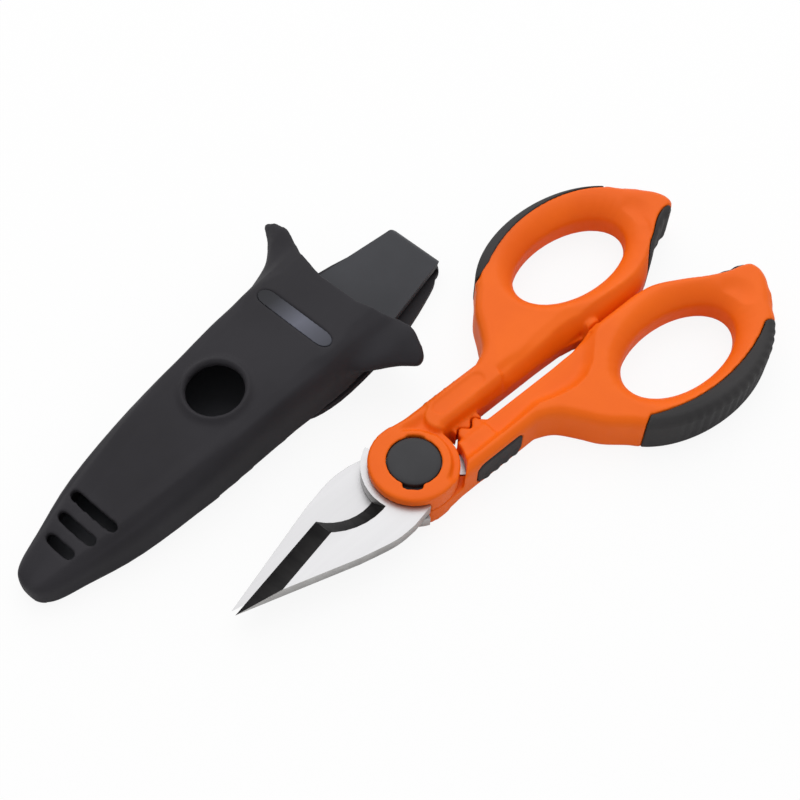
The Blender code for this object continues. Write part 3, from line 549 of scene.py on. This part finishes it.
# depth of the back under the mid-plane: a rib along the outside, a hollow ledge inside it
def backFace(x, y, spread):
    top = funnelFace(x, y, spread) - edgeRolls(x, y, face["backReach"], face["backDrop"])
    inside = valleyGap(x, y) * (1 if y < along(face["valley"], x) else -1)
    steep, gentle = face["valleyRun"]
    run = steep + (gentle - steep) * ease(x, *face["valleyWiden"])
    share = min(max(inside / run, 0.0), 1.0)
    return top - along(face["valleyDepth"], x) * (1 - (1 - share) ** 2) * (1 - ease(x, *face["loopFade"]))


def narrowSlot(x, y):
    turn, inner, outer, past, keep = face["slot"]
    radius = math.hypot(x, y)
    if not inner < radius < past:
        return x, y
    weight = 1 - ease(abs(math.atan2(y, x) - turn), *face["slotFade"])
    drawn = inner + (radius - inner) * keep
    if radius > outer:
        drawn = past - (past - radius) * (past - inner - (outer - inner) * keep) / (past - outer)
    factor = (radius + (drawn - radius) * weight) / radius
    return x * factor, y * factor


# hook: a fuller shoulder, and a soft strip that shows less on the front
hook = {
    "shoulder": (99.4, 23.8), "shoulderFade": (1.0, 4.5), "shoulderRise": 0.7, "shoulderWay": (0.75, 0.65),
    "stripDrawn": 0.9, "stripWay": (0.5, -0.85), "stripFrom": (88, 93), "stripTo": (102, 104.5),
    "stripEdge": (0, 2), "stripFade": (3, 6.5), "stripUp": (0, 3),
}


def shapeHook(x, y, height):
    shoulderX, shoulderY = hook["shoulder"]
    apart = math.hypot(x - shoulderX, y - shoulderY)
    fuller = hook["shoulderRise"] * (1 - ease(apart, *hook["shoulderFade"]))
    x += hook["shoulderWay"][0] * fuller
    y += hook["shoulderWay"][1] * fuller
    if x > hook["stripFrom"][0] and height > 0:
        gap = innerGap(x, y)
        drawn = hook["stripDrawn"] * ease(gap, *hook["stripEdge"]) * (1 - ease(gap, *hook["stripFade"]))
        drawn *= ease(x, *hook["stripFrom"])
        drawn *= 1 - ease(x, *hook["stripTo"])
        x += hook["stripWay"][0] * drawn * ease(height, *hook["stripUp"])
        y += hook["stripWay"][1] * drawn * ease(height, *hook["stripUp"])
    return x, y


def shapeHandle(point):
    x, y, z = point
    height = z - half
    x, y = shapeHook(x, y, height)
    spread = plan["spreadAway"]
    cadHalf = half
    if x > plan["loopFrom"]:
        spread = holeSpread(x, y)
        cadHalf -= (half - plan["holeHalf"]) * (1 - min(max(spread / plan["cadFlare"], 0.0), 1.0))
    if height > 0:
        height *= frontFace(x, y, spread) / cadHalf
        if height > face["slotAbove"]:
            x, y = narrowSlot(x, y)
        return Vector((x, y, half + height))
    ledgeFrom, ledgeTo, ledgeHalf = plan["cadLedge"]
    least, more = face["ledgeMargin"]
    margin = least + more * ease(x, *face["ledgeWiden"])
    if ledgeFrom < x < ledgeTo and y < along(face["valley"], x) + margin and height < -ledgeHalf:
        return Vector((x, y, half - backFace(x, y, spread)))
    return Vector((x, y, half + height * backFace(x, y, spread) / cadHalf))


def turnOver(point):
    return Vector((point.x, -point.y, 2 * half - point.z))


def asUpper(move):
    return move


def asLower(move):
    return lambda point: turnOver(move(turnOver(point)))


halves = (("upper", asUpper), ("lower", asLower))

# the hub's slots, the crimping teeth and the stop nub stay crisp
crisp = {"hub": (10.5, 13.0), "teeth": (1.6, 3.0), "teethEnd": (21.5, 23.5), "nub": (2.5, 4.5),
         "nubShare": 0.8}


def handleSoftness(point):
    teeth = (1 - ease(abs(point.y), *crisp["teeth"])) * (1 - ease(point.x, *crisp["teethEnd"]))
    nub = 1 - ease(math.hypot(point.x - face["stop"][0], point.y - face["stop"][1]), *crisp["nub"])
    return ease(math.hypot(point.x, point.y), *crisp["hub"]) * (1 - teeth) * (1 - crisp["nubShare"] * nub)


for prefix, asDesigned in halves:
    handle = remesh(copyNode(prefix + "_handle", prefix + "HandleMoulding"), face["voxel"])
    sculpt(soften(handle, meshing["evenOut"]), asDesigned(shapeHandle))
    soften(remesh(handle, face["voxel"]), meshing["evenOut"])
    soften(handle, face["soft"], handleSoftness)
    thin(handle, face["keep"])
    place(handle, prefix + "_half", prefix + "_handle", "orangeNylon")
    print(handle.name, len(handle.data.polygons), "faces")


# soft grips: the loop's crescent is ribbed towards the hook, the shank's pad has finger waves
grip = {
    "voxel": 0.30, "soft": 3, "keep": 0.55,
    "ribPitch": 2.5, "ribDepth": 0.30, "ribFrom": (52, 60), "ribTo": (90, 97), "ribEdge": (0.4, 3.0),
    "ribUp": (7.5, 10),
    # how far the crescent's front edge laps over the nylon and stands up, by the direction in degrees
    "lap": ((40, 0.0), (65, 0.3), (100, 0.9), (120, 1.3), (134, 1.4), (139, 1.0), (147, 0.0)),
    "proud": ((90, 0.2), (125, 0.5)), "lapEdge": (0.2, 0.9), "lapUp": (9, 10.5),
    "wavePitch": 3.1, "waveDepth": 0.3, "waveBase": 0.15, "waveSide": (9.9, 10.5), "waveUp": (6.0, 9.0),
    "tipBulge": 0.55, "tipPitch": 3.4, "tipRib": 0.3, "tipFrom": (90, 100), "tipTo": (102, 105),
    "tipEdge": (0.2, 1.6),
}


def shapeLoopGrip(point, lapped):
    long, wide = plan["rim"]
    angle = math.atan2((point.y - loopY) / wide, (point.x - loopX) / long)
    travel = (math.pi / 2 - angle) * sum(plan["rim"]) / 2
    groove = 0.5 - 0.5 * math.cos(2 * math.pi * travel / grip["ribPitch"])
    gap = outerGap(point.x, point.y)
    strength = ease(point.x, *grip["ribFrom"]) * (1 - ease(point.x, *grip["ribTo"]))
    strength *= 1 - ease(gap, *grip["ribEdge"])
    outwards = Vector(((point.x - loopX) / long ** 2, (point.y - loopY) / wide ** 2, 0))
    outwards.normalize()
    onFront = lapped * ease(point.z, *grip["lapUp"])
    lap = along(grip["lap"], math.degrees(angle)) * ease(gap, *grip["lapEdge"]) * onFront
    shaped = shapeHandle(point - outwards * lap)
    shaped.z += along(grip["proud"], math.degrees(angle)) * onFront
    return shaped - outwards * grip["ribDepth"] * groove * strength * (1 - ease(point.z, *grip["ribUp"]))


def shapeShankGrip(point):
    shaped = shapeHandle(point)
    wave = 0.5 + 0.5 * math.cos(2 * math.pi * (point.x - plan["hub"]) / grip["wavePitch"])
    swell = grip["waveBase"] + grip["waveDepth"] * wave * ease(point.z, *grip["waveUp"])
    shaped.y += ease(point.y, *grip["waveSide"]) * swell
    return shaped


# the strip on the hook stands a little proud of it and has finger ribs
def shapeTipGrip(point):
    shaped = shapeHandle(point)
    proud = ease(point.x, *grip["tipFrom"]) * (1 - ease(innerGap(point.x, point.y), *grip["tipEdge"]))
    rib = 0.5 + 0.5 * math.cos(2 * math.pi * point.x / grip["tipPitch"])
    shift = grip["tipBulge"] * (1 - ease(point.x, *grip["tipTo"])) - grip["tipRib"] * rib
    return shaped + Vector((*hook["stripWay"], 0)) * proud * shift


for prefix, asDesigned in halves:
    lapped = prefix == "upper"      # the lower crescent's front lies flat on the table
    shapes = (("LoopGrip", "_loop_grip", lambda point: shapeLoopGrip(point, lapped)),
              ("TipGrip", "_tip_grip", shapeTipGrip), ("ShankGrip", "_shank_grip", shapeShankGrip))
    for title, node, move in shapes:
        piece = remesh(copyNode(prefix + node, prefix + title), grip["voxel"])
        sculpt(soften(piece, meshing["evenOut"]), asDesigned(move))
        thin(soften(piece, grip["soft"]), grip["keep"])
        place(piece, prefix + "_half", prefix + node, "charcoalRubber")
print("soft grips moulded")


# blades: crisp copies of the solids with a hairline broken edge, a ground bevel whose steel is painted near
# black as a painted dark reflection, and grey sawn sides
blade = {"edge": 0.10 * mm, "segments": 2, "sharp": math.radians(24), "flat": 0.96, "side": 0.35,
         "heelX": -11.5 * mm, "least": 1e-7}
for prefix, sign in (("upper", 1), ("lower", -1)):
    piece = copyNode(prefix + "_blade", prefix + "BladeSteel")
    breakEdges(piece, blade["edge"], blade["segments"], blade["sharp"])
    for finish in ("satinSteel", "groundBevelPaintedDark", "sawnSteel"):
        piece.data.materials.append(paint[finish])
    for side in piece.data.polygons:
        tilt = side.normal.z * sign
        slanted = blade["side"] < tilt < blade["flat"] and side.area > blade["least"]
        # faces of the ground bevel get the steel painted near black, a painted dark reflection
        ground = slanted and side.center.x < blade["heelX"]
        side.material_index = 1 if ground else 2 if abs(tilt) < blade["side"] else 0
    place(piece, prefix + "_half", prefix + "_blade", "satinSteel")
    piece.data.set_sharp_from_angle(angle=blade["sharp"])
    for side in piece.data.polygons:
        side.use_smooth = abs(side.normal.z) < blade["flat"] and side.material_index != 1
print("blades ground")


# pivot caps: slightly domed discs with a soft rim, and the key tab that shows in the nearer slot
cap = {"radius": 6.35, "skirt": 0.9, "foot": 9.6, "dome": 0.32, "rim": 0.35, "thick": 1.1, "turns": 96,
       "crown": 0.86, "crownDrop": 0.6, "crownSteps": 10, "rimSteps": 6, "sharp": math.radians(50),
       "tab": (5.4, 7.5, 4.2), "tabTop": 10.3, "tabTurn": math.radians(225)}


def capProfile():
    top = 2 * half
    steps = cap["crownSteps"]
    line = []
    for n in range(steps + 1):
        drop = cap["dome"] * (n / steps) ** 2 * cap["crownDrop"]
        line.append((cap["radius"] * cap["crown"] * n / steps, top - drop))
    for n in range(1, cap["rimSteps"] + 1):
        angle = math.pi / 2 * (1 - n / cap["rimSteps"])
        line.append((cap["radius"] - cap["rim"] * (1 - math.cos(angle)),
                     top - cap["dome"] - cap["rim"] * (1 - math.sin(angle))))
    inner = cap["radius"] - cap["skirt"]
    under = top - cap["thick"]
    return line + [(cap["radius"], cap["foot"]), (inner, cap["foot"]), (inner, under), (0, under)]


def turnCap(name):
    turns = cap["turns"]
    shape = bmesh.new()
    rings = []
    for radius, z in capProfile():
        ring = []
        for n in range(turns if radius else 1):
            angle = 2 * math.pi * n / turns
            corner = (radius * math.cos(angle) * mm, radius * math.sin(angle) * mm, z * mm)
            ring.append(shape.verts.new(corner))
        rings.append(ring)
    for low, high in zip(rings, rings[1:]):
        for n in range(turns):
            after = (n + 1) % turns
            corners = [low[n % len(low)], low[after % len(low)]]
            corners += [high[after % len(high)], high[n % len(high)]]
            shape.faces.new(list(dict.fromkeys(corners)))       # a triangle where a ring is one point
    near, far, width = cap["tab"]
    block = bmesh.ops.create_cube(shape, size=mm)["verts"]
    turn = Matrix.Rotation(cap["tabTurn"], 4, "Z")
    middle = Matrix.Translation(Vector(((near + far) / 2, 0, (cap["foot"] + cap["tabTop"]) / 2)) * mm)
    size = Matrix.Diagonal((far - near, width, cap["tabTop"] - cap["foot"], 1))
    bmesh.ops.transform(shape, matrix=turn @ middle @ size, verts=block)
    bmesh.ops.recalc_face_normals(shape, faces=shape.faces)
    return addObject(name, meshFrom(shape, name))


for prefix in ("upper", "lower"):
    piece = turnCap(prefix + "PivotCap")
    if prefix == "lower":
        sculpt(piece, turnOver)
    place(piece, prefix + "_half", prefix + "_pivot_cap", "blackNylon")
    piece.data.set_sharp_from_angle(angle=cap["sharp"])
print("pivot caps turned")


# sheath: softened shell with a bead round the thumb hole and a mouth whose ears are not quite alike
sheath = {
    "tip": Vector((-83.5, 35.6, 0)), "yaw": math.radians(6.3), "pitch": math.radians(1.8576),
    "foot": 1.85, "footTop": 5.5,
    # crease between the top and the walls: how far from the middle it lies, its height, inner and outer reach
    "crease": ((0, 2.7), (7, 4.0), (21, 6.6), (40, 10.1), (58, 12.6), (76, 14.4)),
    "creaseRise": (0.7, 3.5, 2.0), "creaseUp": (3.5, 6), "creaseEnd": (72, 82),
    "voxel": 0.36, "evenOut": 2, "soft": 14, "rimSoft": 12, "keep": 0.42,
}
sheathFrame = (Matrix.Translation(sheath["tip"]) @ Matrix.Rotation(sheath["yaw"], 4, "Z")
               @ Matrix.Rotation(-sheath["pitch"], 4, "Y"))
sheathHome = sheathFrame.inverted()

# openings on the front are drawn to the sizes in the photo
opening = {
    "above": 3, "side": 15.8,               # only the front is drawn, not the walls
    "hole": (61.7, 7.6), "holeShift": -1.3, "holeScale": 0.92, "shiftReach": 16, "scaleReach": 15,
    "bead": 0.9, "beadReach": 0.9, "beadWidth": 0.8, "beadAbove": 13, "beadWithin": 4,
    "slots": (11.3, 5.2, 3.3), "slotCount": 3, "slotScale": 0.74, "slotEnds": (2.2, 3.8), "slotFlare": 0.22,
    "label": (88, 2.8), "labelShift": -0.95, "labelScale": (0.78, 1.10), "labelReach": 8,
    "labelEnds": (11.5, 15.5),
}


def fitOpenings(x, y):
    holeX, holeRadius = opening["hole"]
    radius = math.hypot(x - holeX, y)
    if radius < opening["shiftReach"]:
        scale = 1 - (1 - opening["holeScale"]) * (1 - ease(radius, holeRadius, opening["scaleReach"]))
        shift = opening["holeShift"] * (1 - ease(radius, holeRadius, opening["shiftReach"]))
        return holeX + (x - holeX) * scale + shift, y * scale
    first, pitch, width = opening["slots"]
    number = round((x - first) / pitch)
    if 0 <= number < opening["slotCount"]:
        middle = first + pitch * number
        aside = abs(x - middle)
        drawn = aside * opening["slotScale"]
        if aside > width / 2:
            least = width / 2 * opening["slotScale"]
            drawn = least + (aside - width / 2) * (pitch / 2 - least) / (pitch / 2 - width / 2)
        inner, outer = opening["slotEnds"]
        flare = opening["slotFlare"] * x
        within = 1 - ease(abs(y), inner + flare, outer + flare)
        return x + (middle + math.copysign(drawn, x - middle) - x) * within, y
    labelX, labelHalf = opening["label"]
    narrower, longer = opening["labelScale"]
    aside = x - labelX
    near = 1 - ease(abs(aside), labelHalf, opening["labelReach"])
    shift = opening["labelShift"] - (1 - narrower) * min(max(aside, -labelHalf), labelHalf)
    return x + shift * near, y * (1 + (longer - 1) * near * (1 - ease(abs(y), *opening["labelEnds"])))


# how far a point lies outside the thumb hole, once that is drawn to size
def holeGap(x, y):
    holeX, holeRadius = opening["hole"]
    return math.hypot(x - (holeX + opening["holeShift"]), y) - holeRadius * opening["holeScale"]


mouth = {
    # how far the mouth's edge lies before or behind the straight one, from the near ear to the far one
    "edge": ((-29, -2.2), (-26, -0.4), (-22, 1.2), (-18, 0.8), (-14.8, -1.0), (-8, -3.4), (3.7, -3.6),
             (7.2, -2.9), (12.8, -1.4), (16, 0.4), (21, 2.8), (26, 3.2), (30, 2.6)),
    "from": 88, "straight": 104,
    # the ears' rear edge, and how far each ear's rear edge moves along and outwards
    "rear": ((16.1, 84), (17.7, 89.6), (20.6, 95), (24.7, 99.6), (28.9, 102.8)),
    "rearSide": (16, 20), "rearFrom": (84, 92), "farRear": 2.6, "nearRear": -2.6,
    "nearSwell": 1.2, "swellSide": (15.5, 19), "swellFrom": (82, 90),
    "nearTip": (26.8, 1.5),                 # the near ear ends bluntly
    "earThick": 0.6, "earMiddle": 9.4, "earSide": (16.5, 23), "earFrom": (84, 94),
}


def skewMouth(x, y):
    rear = along(mouth["rear"], abs(y))
    # 0 at an ear's rear edge, 1 at the mouth
    forward = min(max((x - rear) / (mouth["straight"] - rear), 0.0), 1.0)
    onEar = ease(abs(y), *mouth["rearSide"])
    rearShift = (mouth["farRear"] if y > 0 else mouth["nearRear"]) * ease(x, *mouth["rearFrom"])
    moves = (1 - onEar) * ease(x, mouth["from"], mouth["straight"]) + onEar * forward
    x += along(mouth["edge"], y) * moves + rearShift * onEar * (1 - forward)
    if y < 0:
        y -= mouth["nearSwell"] * ease(-y, *mouth["swellSide"]) * ease(x, *mouth["swellFrom"]) * (1 - forward)
    tipFrom, tipReach = mouth["nearTip"]
    if y < -tipFrom:
        y = -tipFrom - tipReach * math.tanh((-y - tipFrom) / tipReach)
    return x, y


def shapeShell(point):
    x, y, z = sheathHome @ point
    ear = ease(abs(y), *mouth["earSide"]) * ease(x, *mouth["earFrom"])
    if z > sheath["foot"] + opening["above"] and abs(y) < opening["side"]:
        x, y = fitOpenings(x, y)
    away = holeGap(x, y)
    if z > opening["beadAbove"] and away < opening["beadWithin"]:
        z += opening["bead"] * math.exp(-((away - opening["beadReach"]) / opening["beadWidth"]) ** 2)
    past = abs(y) - along(sheath["crease"], x)
    rise, inner, outer = sheath["creaseRise"]
    ridge = rise * max(0.0, 1 + past / inner if past < 0 else 1 - past / outer)
    z += ridge * ease(z, *sheath["creaseUp"]) * (1 - ease(x, *sheath["creaseEnd"]))
    x, y = skewMouth(x, y)
    z += (z - mouth["earMiddle"]) * mouth["earThick"] * ear
    # the rim reaches down round the back
    z -= sheath["foot"] * (1 - ease(z, sheath["foot"], sheath["footTop"]))
    return sheathFrame @ Vector((x, y, z))


# edges of the hole, slots and label place stay crisp, the rest of the shell is smoothed
even = {"wallTop": 5, "wall": 0.9, "rim": (2.0, 4.5), "hole": (0.6, 2.0), "slotsFrom": (7, 8.5),
        "slotsTo": (24.5, 26), "slotsSide": (10, 12), "labelPast": 2.0, "labelSide": (12, 13.5),
        "ear": 0.5, "earSide": (18, 24)}


def shellSoftness(point):
    x, y, z = sheathHome @ point
    if z < even["wallTop"]:
        return even["wall"]
    weight = ease(abs(holeGap(x, y)), *even["hole"])
    slots = ease(x, *even["slotsFrom"]) * (1 - ease(x, *even["slotsTo"]))
    weight *= 1 - slots * (1 - ease(abs(y), *even["slotsSide"]))
    labelX, labelHalf = opening["label"]
    beside = ease(abs(x - labelX - opening["labelShift"]), labelHalf, labelHalf + even["labelPast"])
    weight *= 1 - (1 - beside) * (1 - ease(abs(y), *even["labelSide"]))
    return weight * (1 - even["ear"] * ease(abs(y), *even["earSide"]))


# an even rim on the table side
def rimSoftness(point):
    return 1 - ease((sheathHome @ point).z, *even["rim"])


shell = soften(remesh(copyNode("sheath_shell", "sheathShell"), sheath["voxel"]), sheath["evenOut"])
sculpt(shell, shapeShell)
soften(shell, sheath["soft"], shellSoftness)
soften(shell, sheath["rimSoft"], rimSoftness)
thin(shell, sheath["keep"])
place(shell, "sheath", "sheath_shell", "charcoalNylon")
print(shell.name, len(shell.data.polygons), "faces")

inlay = {"voxel": 0.16, "evenOut": 2, "keep": 0.5}


def shapeLabel(point):
    local = sheathHome @ point
    labelX = opening["label"][0]
    local.x = labelX + opening["labelShift"] + (local.x - labelX) * opening["labelScale"][0]
    local.y *= opening["labelScale"][1]
    return sheathFrame @ local


label = soften(remesh(copyNode("label_inlay", "labelInlay"), inlay["voxel"]), inlay["evenOut"])
thin(sculpt(label, shapeLabel), inlay["keep"])
place(label, "sheath", "label_inlay", "greyLabel")

# back with the strap, and the clip's leg
strap = {"end": 132.5, "corner": 2.4, "cornerSide": 4, "inset": 0.955, "insetEnd": (96, 103),
         "tipShift": 0.7, "tipFade": (0, 20), "edge": 0.5 * mm, "segments": 3, "sharp": math.radians(35),
         "crease": math.radians(40)}


# the strap's end has round corners
def roundStrap(local):
    radius = strap["corner"]
    past = min(max(local.x - strap["end"] + radius, 0.0), radius)
    loss = radius - math.sqrt(radius ** 2 - past ** 2)
    local.y -= math.copysign(min(loss, abs(local.y)), local.y) * (abs(local.y) > strap["cornerSide"])
    return local


# the back plate is drawn in a little, so that the shell's rim closes round it
def shapeBack(point):
    local = sheathHome @ point
    local.y *= 1 - (1 - strap["inset"]) * (1 - ease(local.x, *strap["insetEnd"]))
    local.x += strap["tipShift"] * (1 - ease(local.x, *strap["tipFade"]))
    return sheathFrame @ roundStrap(local)


def shapeLeg(point):
    return sheathFrame @ roundStrap(sheathHome @ point)


back = sculpt(copyNode("sheath_back", "sheathBack"), shapeBack)
leg = sculpt(copyNode("clip_leg", "clipLeg"), shapeLeg)
for piece in (back, leg):
    breakEdges(piece, strap["edge"], strap["segments"], strap["sharp"])
place(back, "sheath", "sheath_back", "strapNylonPaintedSheen")
place(leg, "belt_clip", "clip_leg", "charcoalNylon")
for piece in (back, leg):
    piece.data.set_sharp_from_angle(angle=strap["crease"])
print("sheath and clip moulded")


# pivot steel that only shows in the slits keeps its solids
for node in ("pivot_bolt", "pivot_nut", "spring_washer"):
    nodes[node].data.materials.clear()
    nodes[node].data.materials.append(paint["satinSteel"])
